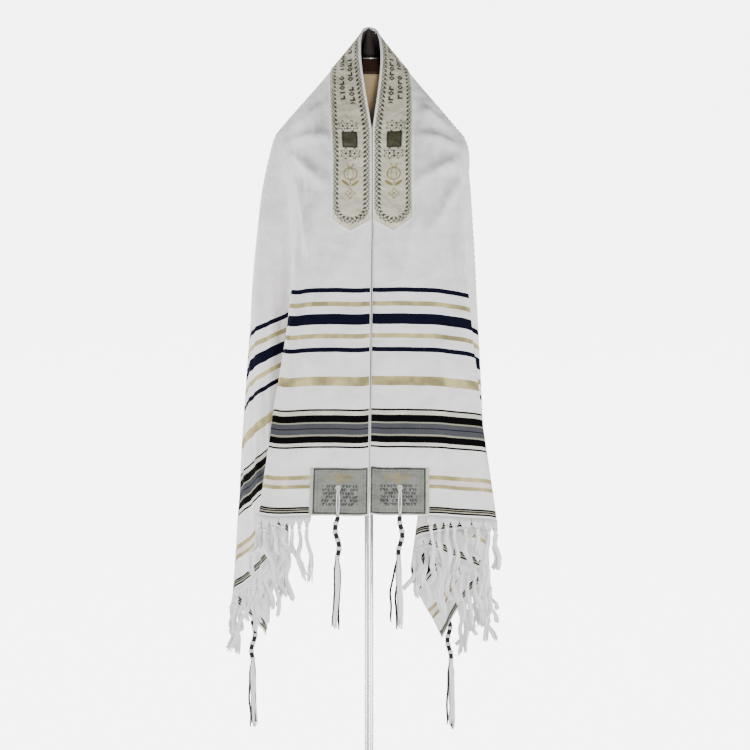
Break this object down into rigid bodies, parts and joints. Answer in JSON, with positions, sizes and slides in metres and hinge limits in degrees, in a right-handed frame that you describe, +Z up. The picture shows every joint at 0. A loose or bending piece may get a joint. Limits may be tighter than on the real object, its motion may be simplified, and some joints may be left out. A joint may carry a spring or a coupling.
{
  "type": "tallit prayer shawl on a dress form",
  "caption": "White woven tallit prayer shawl with dark and gold stripes, brocade neckband, fringes and corner tassels, draped over a limbless dress form on a stand.",
  "frame": {"origin": "floor level under the dress form's axis, centre of the stand base's underside", "axes": "+Z up, -Y towards the front of the shawl, +X towards the viewer's right"},
  "size_m": [0.4893, 0.3904, 1.4993],
  "materials": {
    "woven_cloth": "plain woven wool blend, matte",
    "brocade": "silver-ivory brocade, slight sheen",
    "yarn": "tied yarn, matte",
    "cord": "twisted cord, white with black windings",
    "form_jersey": "tan jersey stretched over the form",
    "dark_wood": "dark stained, satin lacquer",
    "steel": "brushed"
  },
  "bodies": {
    "root": {"shawl_cloth": "woven_cloth", "neckband": "brocade", "corner_square_front_left": "brocade", "corner_square_front_right": "brocade", "corner_square_back_left": "brocade", "corner_square_back_right": "brocade", "fringe_left": "yarn", "fringe_right": "yarn", "tzitzit_front_left": "cord", "tzitzit_front_right": "cord", "tzitzit_back_left": "cord", "tzitzit_back_right": "cord", "form_torso": "form_jersey", "neck_cap": "dark_wood", "finial": "dark_wood", "stand_pole": "steel", "stand_base": "steel"}
  },
  "joints": []
}
